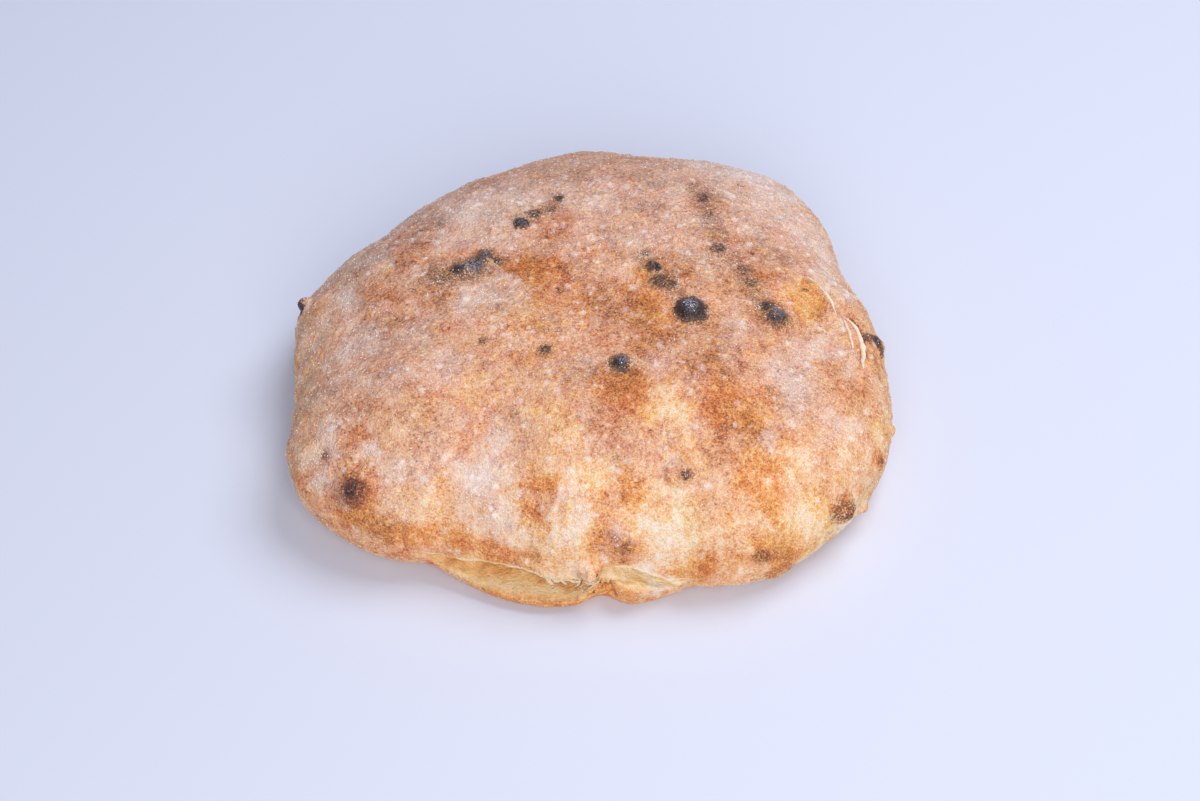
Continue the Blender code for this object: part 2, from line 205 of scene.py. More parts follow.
# Where the crust stayed pale and creamy between the toasted places
CREAMY = (
    (-7, -73, 51, 10, 0.25), (-7, -83, 47, 9, 0.28), (-4, -92, 40, 11, 0.32), (-8, -99, 31, 10, 0.38),
    (-11, -62, 55, 9, 0.4), (2, -80, 48, 7, 0.5), (29, -63, 56, 9, 0.6), (21, -95, 32, 9, 0.75),
    (28, -98, 30, 9, 0.7), (32, -90, 38, 9, 0.7), (36, -74, 51, 7, 0.4), (20, -85, 43, 7, 0.4),
    (17, -91, 39, 8, 0.45), (76, -73, 44, 9, 0.4), (79, -87, 27, 10, 0.7), (88, -83, 18, 9, 0.85),
    (84, -88, 11, 9, 0.8), (94, -77, 12, 9, 0.8), (98, -73, 19, 8, 0.6), (30, -50, 59, 9, 0.35),
    (-58, -83, 36, 9, 0.3), (-45, -48, 57, 10, 0.3), (-25, -14, 61, 8, 0.3), (-18, -56, 55, 7, 0.35),
    (80, 2, 54, 9, 0.45), (92, 8, 48, 6, 0.35), (19, -101, 16, 7, 0.6), (22, -99, 10, 5, 0.75),
    (27, -101, 9, 5, 0.75), (107, -50, 34, 5, 0.4), (-68, -58, 53, 12, 0.25),
)

# Where flour lies thick. The patches at (-2.7, -102.5, 21.5), the nub's top, and at (16, -97,
# 11), the small lobe's face under the lip, are painted light as well.
FLOURED_AND_LIT = (
    (-43, 43, 59, 13, 0.38), (-34, 51, 59, 9, 0.36), (-31, 30, 60, 9, 0.4), (-53, 30, 58, 8, 0.25),
    (-39, -2, 60, 11, 0.65), (-33, 5, 61, 6, 0.5), (-48, -10, 60, 11, 0.35), (-63, -18, 58, 9, 0.4),
    (-53, -36, 59, 11, 0.55), (-90, -4, 50, 9, 0.35), (-87, -20, 50, 10, 0.5), (-90, -35, 50, 8, 0.4),
    (-100, -3, 44, 7, 0.5), (-94, 9, 47, 7, 0.45), (-70, -40, 56, 9, 0.5), (-36, -76, 45, 12, 0.65),
    (-33, -68, 49, 9, 0.6), (-42, -80, 42, 9, 0.5), (-33, -85, 39, 9, 0.65), (-40, -88, 33, 8, 0.65),
    (-46, -88, 30, 7, 0.6), (-30, -93, 29, 6, 0.6), (-29, -80, 44, 6, 0.7), (-58, -73, 47, 9, 0.3),
    (-69, -73, 45, 8, 0.35), (-80, -67, 46, 6, 0.5), (-96, -60, 43, 7, 0.6), (-95, -72, 36, 6, 0.6),
    (59, 76, 49, 20, 0.65), (72, 64, 50, 16, 0.65), (62, 33, 57, 7, 0.25), (60, 44, 56, 7, 0.5),
    (84, 40, 47, 13, 0.6), (92, 15, 48, 8, 0.8), (101, 9, 44, 6, 0.6), (74, -24, 55, 9, 0.4),
    (56, -22, 59, 10, 0.2), (98, -9, 45, 5, 0.5), (95, 28, 43, 10, 0.5), (66, 80, 40, 16, 0.5),
    (88, -23, 51, 7, 0.6), (100, -29, 47, 5, 0.5), (74, -38, 55, 12, 0.6), (77, -51, 52, 8, 0.4),
    (85, -58, 46, 8, 0.6), (95, -56, 42, 7, 0.5), (20, 28, 61, 8, 0.55), (5, 48, 61, 8, 0.4),
    (24, -38, 60, 5, 0.4), (0, -39, 59, 5, 0.3), (2, -74, 50, 7, 0.3), (23, -91, 37, 5, 0.6),
    (13, -97, 31, 4, 0.4), (-8, -96, 34, 8, 0.7), (-5, -90, 40, 8, 0.5), (10.4, -98.4, 29.2, 5, 0.65),
    (6.4, -98.9, 27, 4, 0.55), (-95, -74, 40, 5, 0.5), (-78, -76, 42, 5, 0.45), (-69, -87, 31, 8, 0.25),
    (-91, -79, 30, 7, 0.35), (-95, -69, 38, 6, 0.45), (17, -88, 42, 8, 0.2), (21, -104.6, 7, 5, 0.8),
    (-2.7, -102.5, 21.5, 3, 0.5), (63, -70, 50, 7, 0.4), (20, -101, 17, 7, 0.8), (22, -99, 10, 5, 0.5),
    (16, -97, 11, 5, 0.8), (60, 10, 59, 4, 0.3), (27.2, -79.5, 47.2, 1.6, 0.75),
    (28.4, -77, 48.6, 1.5, 0.75), (30, -75.2, 49.4, 1.5, 0.8), (32.3, -74.2, 50, 1.5, 0.8),
    (34.8, -75, 49.9, 1.4, 0.75), (36.6, -77.5, 49.2, 1.3, 0.6), (31.4, -81.6, 47.8, 1.3, 0.95),
    (32.6, -79.8, 48.2, 1.1, 0.9), (-87, -68.5, 43, 1.9, 0.6), (-60.5, -75.5, 44.7, 2.2, 0.8),
)

# The charred spots: x, y, z, radius of the core, darkness, radius of the scorched ring. The two
# at (0.4, -104.8, 17.4) and (-4.2, -103.8, 17.6) paint shade on the nub's lower side.
CHAR_AND_SHADE_SPOTS = (
    (-48.5, 12.5, 60, 2.6, 0.9, 7.5), (-45, 13, 60.5, 2, 0.85, 6), (-43, 14.5, 61.4, 3.2, 0.95, 7.5),
    (-39, 19, 61.4, 2.7, 0.95, 6), (-34, 16, 60.5, 1.7, 0.6, 4.5), (-54, 10, 59, 4, 0.36, 9),
    (-25, 35.5, 62, 2.2, 1, 5), (-20, 41.5, 60, 3, 0.5, 6.5), (-14, 43.5, 60, 2.6, 0.42, 6),
    (-11, 50.5, 60, 1.7, 0.75, 4.2), (23.6, 8.4, 63.2, 1.5, 0.95, 3.4), (25.8, 8.2, 63.2, 1.7, 1, 3.6),
    (22, 17, 61.5, 2.2, 0.4, 4.5), (27, 1.5, 62, 3.8, 0.52, 7.5), (31, 0, 62, 3.4, 0.48, 6.5),
    (34, -6, 62, 3, 0.34, 6.5), (38, -13.6, 63.5, 5, 1.15, 9.5), (66.5, -8.5, 58.5, 3, 0.62, 8),
    (70.5, -14, 59, 4.2, 0.68, 9.5), (59, 10, 59, 3.4, 0.42, 8), (61, 3, 58.5, 3.4, 0.42, 8),
    (49.5, 21, 60, 3.4, 0.46, 8), (45, 49.7, 59.5, 3.6, 0.46, 9), (47, 40, 59.5, 3, 0.36, 8),
    (11.3, -38.7, 61.2, 2.5, 0.92, 7.5), (-16, -31.5, 60.6, 2.2, 0.52, 6.5),
    (-39, -25.5, 59.5, 1.8, 0.46, 4.5), (-10.5, 10.5, 61, 1.4, 0.4, 3), (-11, -1.5, 61, 1.4, 0.46, 3),
    (82, 4, 54, 1.3, 0.5, 2.6), (34, -82.3, 47.4, 2.7, 0.42, 3.6), (34.4, -83, 47, 1.5, 0.5, 2.4),
    (-85.5, -78.5, 37.5, 5.8, 0.46, 9), (-86.5, -78, 37.5, 3.4, 0.66, 6.5),
    (92.6, -81, 23.8, 6.4, 0.38, 8.2), (94, -82, 22, 2.8, 0.44, 5.5), (-110, 16.5, 37.5, 3.6, 1.1, 4.6),
    (0.4, -104.8, 17.4, 2.2, 0.4, 4), (-4.2, -103.8, 17.6, 1.5, 0.36, 3), (11.5, -99.5, 27, 3, 0.34, 6.5),
    (61, -100.5, 23, 3.4, 0.38, 6), (72, -94, 8, 2.6, 0.3, 5), (64, -98, 9, 2, 0.3, 4),
    (109, -9, 38, 2.6, 0.8, 4.5), (-96.5, -64.5, 40, 1.8, 0.48, 4), (106.5, -59.5, 26, 1.8, 0.45, 3.5),
    (-87, -68.5, 43, 0.9, 0.4, 1.4), (-66, 19, 58, 1.2, 0.4, 3), (-66, 4, 57, 1.2, 0.4, 2.6),
)

# Bands that the oven scorched, and bands of painted shade along the pinch beside the tongue and
# in the two cracks: half width, darkness, the line
SCORCH_AND_SHADE_BANDS = (
    (5.5, 0.27, ((43, 56, 59), (46, 45, 60), (50, 30, 60), (50, 21, 60), (58, 10, 59), (61, 2, 59),
                 (68, -10, 58))),
    (5, 0.27, ((21, 15, 62), (25, 8, 62), (30, 0, 62), (38, -14, 61))),
    (6.5, 0.32, ((-57, 10, 59), (-46, 10, 60), (-40, 13, 61))),
    (4, 0.3, ((-26, 38, 61), (-18, 42, 60), (-12, 48, 60))),
    (1.1, 0.55, ((5.3, -101, 11.5), (5.1, -102, 8), (6, -104, 4))),
    (0.7, 0.6, TONGUE_CRACK),
    (0.8, 0.45, SHOULDER_CRACK),
    (2.6, 0.22, ((60, -100, 9), (66, -97.5, 8.5), (73, -94, 8))),
    (2.4, 0.5, ((104, -11, 43), (107, -8, 40), (109.5, -9, 38), (111, -12, 35.5))),
)

# Where the torn lip is frayed into small shreds: x, y, z, radius, strength
FRINGED = (
    (-15, -102, 14, 3, 0.8), (-11, -102, 13, 3, 1), (-7, -101, 11, 3, 0.9), (-3, -101, 9, 2.5, 0.7),
    (1, -101, 10, 2.5, 0.6),
)

# White ash and painted highlight glints on the black; the patch at (37.6, -12.6, 64.8) is the
# painted highlight on the big blister's top: x, y, z, radius, strength
ASH_AND_GLINTS = (
    (-44, 14, 61, 4.5, 0.55), (-39, 19, 61, 3, 0.5), (37.6, -12.6, 64.8, 3.2, 0.9), (71, -12, 59, 3, 0.5),
    (-25, 36, 61, 2, 0.5), (12, -37, 61, 2.5, 0.5),
)

# Where the torn inside was singed: x, y, z, radius, strength
SINGED = (
    (14.5, -101.5, 9.8, 2.6, 0.8), (12, -103.5, 10, 2.2, 0.5), (4.5, -102, 12, 2.5, 0.5),
    (5.2, -101, 8, 1.8, 0.9), (5.6, -103, 5, 1.8, 0.8),
)

# Where the torn crumb is darker: painted shade in its pits and under the lip along the deep
# part of the mouth, where the crumb is a little browner too: x, y, z, radius, strength
PIT_AND_LIP_SHADE = (
    (-3, -98, 8, 4.5, 0.8), (-9, -98.5, 6.5, 4.5, 0.7), (5, -100, 8, 3.5, 0.9), (-50, -88, 10, 6, 0.8),
    (-44, -89, 6, 6, 0.5), (-38, -90, 6, 6, 0.6), (-32, -91, 6, 6, 0.6), (-25, -93, 6.5, 5, 0.5),
    (-17.5, -94.5, 7, 5.5, 0.8), (-13, -97, 6.5, 2.5, 0.5),
)

# A round patch fades out between 0.3 and 1.3 of its radius and a band between 0.5 and 1.5 of
# its half width. A charred spot is darkest within a share of its core, and the core's edge
# has a share of that darkness.
PATCH_EDGE = 1.3
BAND_EDGE = 1.5
CORE_FULL = 0.6
CORE_EDGE = 0.6

# How smooth noise makes the outlines of patches ragged: reach and span, for the broad patches
# and for the char
BROAD_RAGS = ((7.0, 14.0), (2.5, 5.0))
FINE_RAGS = ((0.8, 4.0), (0.45, 1.8))

# Where the loaf's front, back, left, high and sooty parts begin, and over how far they grow
FRONT = (30.0, 50.0)
BACK = (-10.0, 70.0)
LEFT = (30.0, 60.0)
HIGH = (25.0, 32.0)
SOOTY = (46.0, 8.0)

# Streaks down the front: the radius at which they are measured, their width and length. Then
# the span of the noise that makes flour and browning patchy.
STREAK_RADIUS = 110.0
STREAK_WIDTH = 3.2
STREAK_LENGTH = 22.0
PATCHY_SPAN = 9.0

# How toasted the crust is, from 0, pale, to 1, dark, with painted shade from some patches: the
# levels that places tend to, and how far each layer takes them there or changes them
TOAST_LEVEL = {"plain": 0.42, "browned": 0.9, "golden": 0.5, "rim": 0.54}
TOAST_SHARE = {"high": 0.2, "back": 0.05, "left": 0.05, "browned": 0.75, "creamy": 0.75,
               "streak": 0.1, "pimple": 0.22, "golden": 0.5, "rim": 0.9}
RIM_PATCHY = (0.9, 0.3)

# How thick the flour lies, from 0 to 1, in the same way, with painted light from a few patches
FLOUR_LEVEL = {"plain": 0.21, "flour_and_light": 0.8}
FLOUR_SHARE = {"back": 0.19, "left": 0.06, "streak": 0.1, "patchy": 0.12, "browned": 0.6,
               "golden": 0.42, "bare": 0.08, "pimple": 0.2, "white": 0.45}
FLOUR_PATCHY = (0.7, 0.5)

# What is strewn: less flour at the back, none on the underside, and shreds on torn crumb only
BACK_LOSS = 0.5
UNDERSIDE = 1.0
FRINGE_TORN = 0.3


def smooth_step(x):
    """0 below 0, 1 above 1, and a smooth rise between."""
    x = np.clip(x, 0.0, 1.0)
    return x * x * (3.0 - 2.0 * x)


def rising(values, start, reach):
    """0 up to the start, 1 past the reach beyond it, and smooth between."""
    return smooth_step((values - start) / reach)


def round_the_edge(values, bearing):
    """A closed smooth curve through values at even steps of bearing."""
    values = np.asarray(values, float)
    place = (bearing % 360.0) / 360.0 * len(values)
    step = np.floor(place).astype(int)
    f = place - step
    a, b, c, d = (values[(step + k) % len(values)] for k in (-1, 0, 1, 2))
    bend = 2.0 * a - 5.0 * b + 4.0 * c - d
    return b + 0.5 * f * (c - a + f * (bend + f * (3.0 * (b - c) + d - a)))


def along_the_tear(values, bearing):
    """A smooth curve through the values at the tear's stations."""
    stations = np.asarray(TEAR_BEARING, float)
    values = np.asarray(values, float)
    slopes = np.gradient(values, stations)
    place = np.clip(bearing, stations[0], stations[-1])
    k = np.clip(np.searchsorted(stations, place) - 1, 0, len(stations) - 2)
    span = stations[k + 1] - stations[k]
    t = (place - stations[k]) / span
    start = (1.0 + 2.0 * t) * (1.0 - t) ** 2 * values[k] + t * (1.0 - t) ** 2 * span * slopes[k]
    end = t * t * (3.0 - 2.0 * t) * values[k + 1] - t * t * (1.0 - t) * span * slopes[k + 1]
    return start + end


def torn_share(bearing):
    """1 where the edge is torn open, 0 where it is whole."""
    opens = rising(bearing, TEAR_BEARING[0], TEAR_FADE)
    return opens * smooth_step((TEAR_BEARING[-1] - bearing) / TEAR_FADE)


def edge_of_the_loaf(bearing):
    """Lip radius, lip height, tongue radius, gap, depth and undercut at each bearing."""
    radius = round_the_edge(EDGE_RADIUS, bearing)
    height = round_the_edge(EDGE_HEIGHT, bearing)
    cut = round_the_edge(UNDERCUT, bearing)
    torn = torn_share(bearing)

    def mixed(plain, values):
        return plain + (along_the_tear(values, bearing) - plain) * torn

    ragged = RAGGED_LIP["depth"] * bump(bearing - RAGGED_LIP["middle"], RAGGED_LIP["reach"])
    stations = np.zeros((len(bearing), 3))
    stations[:, 0] = bearing / RAGGED_LIP["step"]
    return (
        mixed(radius, LIP_RADIUS) + ragged * unevenness(stations, 1.0, SHIFT["lip"]),
        mixed(height, LIP_HEIGHT),
        mixed(radius, TONGUE_RADIUS),
        mixed(SIDE_BAND, TEAR_GAP),
        mixed(0.0, TEAR_DEPTH),
        mixed(cut, TONGUE_CUT),
    )


def dome_angles(count):
    """Angles down a mean dome, from beside the crown to the edge, evenly spaced along it."""
    fine = np.linspace(np.pi / 2.0, 0.0, DOME_STEPS)
    run = np.cos(fine) ** CRUST_RUN * np.mean(EDGE_RADIUS)
    rise = np.sin(fine) ** CRUST_RISE * (HEIGHT - np.mean(EDGE_HEIGHT))
    length = np.concatenate([[0.0], np.cumsum(np.hypot(np.diff(run), np.diff(rise)))])
    wanted = np.linspace(0.0, length[-1], count + 1)[1:]
    return np.interp(wanted, length, fine)


def loaf_rows(bearing):
    """Rings of points down the crust, through the tear and under the loaf, and each point's
    share of the torn inside and of the tongue's browned rim."""
    lip, lip_height, tongue, gap, depth, cut = edge_of_the_loaf(bearing)
    rings = []
    for angle in dome_angles(CRUST_ROWS):
        run = np.cos(angle) ** CRUST_RUN
        rise = np.sin(angle) ** CRUST_RISE
        height = lip_height + (HEIGHT - lip_height) * rise
        turned = smooth_step((LIP_TURN[0] - angle) / LIP_TURN[1])
        rings.append((lip * run, height, 1.0 - run, turned, 0.0))
    for v in np.linspace(0.0, 1.0, TEAR_ROWS + 2)[1:-1]:
        inward = depth * np.sin(np.pi * v) ** TEAR_FULLNESS
        turn = np.cos(np.pi * v)
        fall = 0.5 - 0.5 * np.sign(turn) * np.sqrt(abs(turn))
        run = lip + (tongue - lip) * v - inward
        rings.append((run, lip_height - gap * fall, 0.0, 1.0, 0.0))
    shelf = lip_height - gap
    for angle in np.linspace(0.0, np.pi / 2.0, UNDER_ROWS):
        run = tongue - cut * (1.0 - np.cos(angle))
        browning = rising(angle, *RIM_TURN)
        rings.append((run, shelf * (1.0 - np.sin(angle)), 0.0, 1.0 - browning, browning))
    for t in np.linspace(1.0, 0.0, BASE_ROWS + 1)[1:-1]:
        rings.append(((tongue - cut) * t, np.zeros_like(lip), 0.0, 0.0, 0.0))

    turn = np.radians(bearing)
    points = np.empty((len(rings), len(bearing), 3))
    inside, rim = np.empty((2,) + points.shape[:2])
    mouth = torn_share(bearing)
    rim_share = mouth * rising(bearing, *RIM_BROWNS)
    rim_share *= 1.0 - RIM_LOSS * rising(bearing, *RIM_PALES)
    for row, torn, brown, (radius, height, lean, share, browning) in zip(points, inside, rim, rings):
        row[:, 0] = CROWN_AXIS[0] + CROWN_LEAN[0] * lean + radius * np.cos(turn)
        row[:, 1] = CROWN_AXIS[1] + CROWN_LEAN[1] * lean + radius * np.sin(turn)
        row[:, 2] = height
        torn[:] = share * mouth
        brown[:] = browning * rim_share
    return points, inside, rim


def outward(points):
    """Unit normals of the rings of points."""
    down = np.gradient(points, axis=0)
    round_about = np.roll(points, -1, axis=1) - np.roll(points, 1, axis=1)
    normal = np.cross(down, round_about)
    return normal / np.maximum(np.linalg.norm(normal, axis=2, keepdims=True), 1e-9)


def bump(distance, radius, power=2.0):
    """1 at the middle of a round dome, falling to 0 at its radius."""
    return np.clip(1.0 - (distance / radius) ** 2, 0.0, 1.0) ** power


def wave(bearing, height, shape):
    """A run of folds side by side, over a stretch of bearing and a band of height."""
    off = bearing - shape["middle"]
    reach = bump(off, shape["reach"])
    band = smooth_step((height - shape["from"]) / WAVE_FADE[0])
    band = band * smooth_step((shape["to"] - height) / WAVE_FADE[1])
    return shape["rise"] * np.cos(2.0 * np.pi * off / shape["step"]) * reach * band


def distance(points, place):
    """How far each point is from a place."""
    return np.linalg.norm(points - np.array(place), axis=-1)


def line_distance(points, line):
    """How far each point is from a line of straight runs."""
    nearest = np.full(points.shape[:-1], np.inf)
    for start, end in zip(line[:-1], line[1:]):
        run = end - start
        t = np.clip((points - start) @ run / (run @ run), 0.0, 1.0)
        nearest = np.minimum(nearest, np.linalg.norm(points - start - t[..., None] * run, axis=-1))
    return nearest


def unevenness(points, span, shift=0.0):
    """Smooth noise of that span at each point, from about -1 to 1."""
    flat = (points / span + shift).reshape(-1, 3).tolist()
    return np.reshape([noise.noise(place) for place in flat], points.shape[:-1])


def pimples(points):
    """How high the nearest small pimple stands at each point, and how white it is there."""
    draw = np.random.default_rng(PIMPLE_SEED)
    ring = CRUST_ROWS * draw.random(PIMPLES) ** PIMPLE_SPREAD
    spots = points[ring.astype(int), draw.integers(0, COLUMNS, PIMPLES)]
    radius = draw.uniform(*PIMPLE_RADIUS, PIMPLES)
    height = draw.uniform(*PIMPLE_HEIGHT, PIMPLES)
    near = kdtree.KDTree(PIMPLES)
    for number, spot in enumerate(spots.tolist()):
        near.insert(spot, number)
    near.balance()
    found = [near.find(place)[1:] for place in points.reshape(-1, 3).tolist()]
    number, away = np.array(found).T
    number = number.astype(int)
    share = bump(away, radius[number])
    white = share * (number % WHITE_PIMPLES == 0)
    return (height[number] * share).reshape(points.shape[:2]), white.reshape(points.shape[:2])


def relief(points, bearing, inside):
    """How far the crust stands out from the smooth form."""
    out = np.zeros(points.shape[:2])
    for rise, span in TORN_LUMPS:
        out += rise * unevenness(points, span, SHIFT["torn"]) * inside
    for depth, width, line in CREASES:
        out -= depth * np.exp(-((line_distance(points, np.array(line, float)) / width) ** 2))
    for *place, radius, height in SWELLINGS + BLISTERS:
        out += height * bump(distance(points, place), radius)
    for *place, radius, height in FULL_BLISTERS:
        out += height * bump(distance(points, place), radius, FULL_BLISTER_ROUNDNESS)
    out += wave(bearing[None, :], points[..., 2], GATHERS)
    out += wave(bearing[None, :], points[..., 2], PLEATS)
    line = np.array(FLAKE_LINE, float)
    out += FLAKE_RISE * np.exp(-((line_distance(points, line) / FLAKE_WIDTH) ** 2))
    beside = line_distance(points, line + np.array(GROOVE_OFFSET))
    out -= FLAKE_GROOVE * np.exp(-((beside / FLAKE_WIDTH) ** 2))
    for *place, radius, rise, pit, depth in BURST_BLISTERS:
        away = distance(points, place)
        out += rise * np.exp(-(((away - radius) / BURST_RING) ** 2)) - depth * bump(away, pit)
    for rise, span in LUMPS + PEBBLES:
        out += rise * unevenness(points, span)
    return out


def write_layer(mesh, name, values):
    """Keeps a value for each of the mesh's points under a name."""
    layer = mesh.attributes.new(name, "FLOAT", "POINT")
    layer.data.foreach_set("value", values.astype(np.float32))


def fine_loaf(name):
    """The closed loaf as rings between the crown and the middle of the base."""
    bearing = np.arange(COLUMNS) * 360.0 / COLUMNS
    points, inside, rim = loaf_rows(bearing)
    above_base = smooth_step(points[..., 2] / RELIEF_FADE)
    dots, white = (layer * (1.0 - inside) for layer in pimples(points))
    rise = relief(points, bearing, inside) + dots
    points = points + outward(points) * (rise * above_base)[..., None]
    points[..., 2] = np.maximum(points[..., 2], 0.0)

    rows = len(points)
    crown = points[0].mean(axis=0)
    base = points[-1].mean(axis=0)
    corners = np.vstack([points.reshape(-1, 3), crown, base]) * MILLIMETRE
    ring = np.arange(COLUMNS)
    after = (ring + 1) % COLUMNS
    upper = np.arange(rows - 1)[:, None] * COLUMNS
    lower = upper + COLUMNS
    quads = np.stack([upper + ring, lower + ring, lower + after, upper + after], axis=-1)
    last = (rows - 1) * COLUMNS
    crown_fan = np.stack([np.full(COLUMNS, rows * COLUMNS), ring, after], axis=-1)
    base_fan = np.stack([np.full(COLUMNS, rows * COLUMNS + 1), last + after, last + ring], axis=-1)
    faces = quads.reshape(-1, 4).tolist() + crown_fan.tolist() + base_fan.tolist()
    mesh = bpy.data.meshes.new(name)
    mesh.from_pydata(corners.tolist(), [], faces)
    known = {"torn": inside, "rim": rim, "pimple": dots / PIMPLE_HEIGHT[1], "white": white}
    for label, values in known.items():
        write_layer(mesh, label, np.append(values.reshape(-1), [0.0, 0.0]))
    return mesh


def in_the_scene(name, data):
    """A new object of the data, linked to the scene."""
    thing = bpy.data.objects.new(name, data)
    bpy.context.scene.collection.objects.link(thing)
    return thing


def finished(thing, name):
    """The mesh that the object's modifiers make. The object itself goes."""
    made = bpy.data.meshes.new_from_object(thing.evaluated_get(bpy.context.evaluated_depsgraph_get()))
    bpy.data.objects.remove(thing)
    made.name = name
    return made


def lighter(mesh, name):
    """The same mesh with fewer triangles, fewest where it is flattest."""
    thing = in_the_scene(name, mesh)
    fewer = thing.modifiers.new("fewer_faces", "DECIMATE")
    fewer.ratio = KEPT_TRIANGLES / sum(len(face.vertices) - 2 for face in mesh.polygons)
    fewer.use_collapse_triangulate = True
    kept = finished(thing, name)
    kept.shade_smooth()
    return kept


def spotted(points, spots):
    """How strongly round patches cover each point, where they overlap as well."""
    bare = np.ones(len(points))
    for *place, radius, strength in spots:
        bare *= 1.0 - strength * smooth_step(PATCH_EDGE - distance(points, place) / radius)
    return 1.0 - bare


def with_rags(points, rags):
    """The points moved by smooth noise, so that round patches get ragged outlines."""
    for reach, span in rags:
        moves = [unevenness(points, span, shift) for shift in RAG_SHIFTS]
        points = points + reach * np.stack(moves, axis=1)
    return points


def layers_of_the_crust(points):
    """How far each layer reaches each point: sides of the loaf, streaks and broad patches."""
    x, y, z = points.T
    moved = with_rags(points, BROAD_RAGS)
    bearing = np.arctan2(y - CROWN_AXIS[1], x - CROWN_AXIS[0])
    run = np.hypot(x - CROWN_AXIS[0], y - CROWN_AXIS[1])
    streak = np.stack([bearing * STREAK_RADIUS / STREAK_WIDTH, (run - z) / STREAK_LENGTH,
                       np.zeros(len(x))], axis=1)
    return {
        "back": rising(y, *BACK),
        "left": rising(-x, *LEFT),
        "high": rising(z, *HIGH),
        "sooty": rising(z, *SOOTY),
        "streak": unevenness(streak, 1.0) * rising(-y, *FRONT),
        "patchy": unevenness(points, PATCHY_SPAN, SHIFT["patchy"]),
        "browned": spotted(moved, TOASTED_AND_SHADED),
        "creamy": spotted(moved, CREAMY),
        "golden": spotted(moved, GOLDEN),
        "flour_and_light": spotted(moved, FLOURED_AND_LIT),
    }


def toasted(layer, rim, pimple):
    """How dark the oven toasted each point, with painted shade from some patches."""
    level, share = TOAST_LEVEL, TOAST_SHARE
    toast = level["plain"] + share["high"] * layer["high"]
    toast = toast + share["back"] * layer["back"] + share["left"] * layer["left"]
    toast = toast + share["browned"] * (level["browned"] - toast) * layer["browned"]
    toast = toast * (1.0 - share["creamy"] * layer["creamy"])
    toast = toast - share["streak"] * layer["streak"] - share["pimple"] * pimple
    uneven = RIM_PATCHY[0] + RIM_PATCHY[1] * layer["patchy"]
    return (toast + (level["golden"] - toast) * share["golden"] * layer["golden"]
            + (level["rim"] - toast) * share["rim"] * rim * uneven)


def flour_and_light(layer, rim, pimple, white):
    """How thick the flour lies at each point, with painted light on a few patches and on the white
    pimples.
    """
    level, share = FLOUR_LEVEL, FLOUR_SHARE
    flour = level["plain"] + share["back"] * layer["back"] + share["left"] * layer["left"]
    flour = flour + share["streak"] * layer["streak"] + share["patchy"] * layer["patchy"]
    flour = flour * (1.0 - share["browned"] * layer["browned"])
    flour = flour - share["golden"] * layer["golden"] - share["bare"] * layer["browned"]
    uneven = FLOUR_PATCHY[0] + FLOUR_PATCHY[1] * layer["patchy"]
    flour = flour + (level["flour_and_light"] - flour) * layer["flour_and_light"] * uneven
    flour = flour - share["pimple"] * pimple * (1.0 - white) + share["white"] * white
    return flour * (1.0 - rim)


def charred_and_shaded(points):
    """How dark each point is with char and with painted shade, by the spots and by the bands."""
    char = np.zeros(len(points))
    for *place, core, darkness, ring in CHAR_AND_SHADE_SPOTS:
        steps = (CORE_FULL * core, core, ring)
        share = np.interp(distance(points, place), steps, (1.0, CORE_EDGE, 0.0))
        char = np.maximum(char, darkness * share)
    for width, darkness, line in SCORCH_AND_SHADE_BANDS:
        away = line_distance(points, np.array(line, float))
        char = np.maximum(char, darkness * smooth_step(BAND_EDGE - away / width))
    return char


def crust_masks(points, torn, rim, pimple, white):
    """What the oven and the flour did at each point of the crust, from 0 to 1, with painted light and
    shade in some of the masks.
    """
    layer = layers_of_the_crust(points)
    close = with_rags(points, FINE_RAGS)
    flour = flour_and_light(layer, rim, pimple, white)
    loose = np.clip(flour, 0.0, 1.0) ** 2 * (1.0 - BACK_LOSS * layer["back"])
    return {
        "toast": toasted(layer, rim, pimple),
        "flour": flour,
        "char": charred_and_shaded(close),
        "ash": spotted(close, ASH_AND_GLINTS),
        "browned": layer["browned"],
        "sooty": layer["sooty"],
        "pitted": spotted(close, PIT_AND_LIP_SHADE),
        "crumb": torn * (1.0 - spotted(close, SINGED)),
        "dusted": loose * (1.0 - torn) * (points[:, 2] > UNDERSIDE),
        "fringe": spotted(points, FRINGED) * (torn > FRINGE_TORN),
    }


def set_masks(mesh):
    """Writes the masks on the mesh's points."""
    points = np.empty(len(mesh.vertices) * 3, np.float32)
    mesh.vertices.foreach_get("co", points)
    points = points.reshape(-1, 3) / MILLIMETRE
    known = {name: np.empty(len(points), np.float32) for name in ("torn", "rim", "pimple", "white")}
    for name, values in known.items():
        mesh.attributes[name].data.foreach_get("value", values)
    for name, values in crust_masks(points.astype(float), **known).items():
        write_layer(mesh, name, np.clip(values, 0.0, 1.0))


def linear(code):
    """A linear colour from its sRGB hex code."""
    parts = [int(code[i:i + 2], 16) / 255.0 for i in (1, 3, 5)]
    return tuple(c / 12.92 if c <= 0.04045 else ((c + 0.055) / 1.055) ** 2.4 for c in parts) + (1.0,)


def add(tree, kind, inputs=None, ramp=None, **settings):
    """Adds one node. An input given as a socket is linked and one given as a value is set."""
    node = tree.nodes.new(kind)
    for name, value in settings.items():
        setattr(node, name, value)
    if ramp:
        stops = node.color_ramp.elements
        stops[0].position, stops[0].color = ramp[0][0], linear(ramp[0][1])
        stops[-1].position, stops[-1].color = ramp[-1][0], linear(ramp[-1][1])
        for place, code in ramp[1:-1]:
            stops.new(place).color = linear(code)
    for name, value in (inputs or {}).items():
        if isinstance(value, bpy.types.NodeSocket):
            tree.links.new(value, node.inputs[name])
        else:
            node.inputs[name].default_value = value
    return node


def new_material(name):
    """An empty material with its shader, and the tree."""
    material = bpy.data.materials.new(name)
    material.use_nodes = True
    return material, material.node_tree, material.node_tree.nodes["Principled BSDF"]


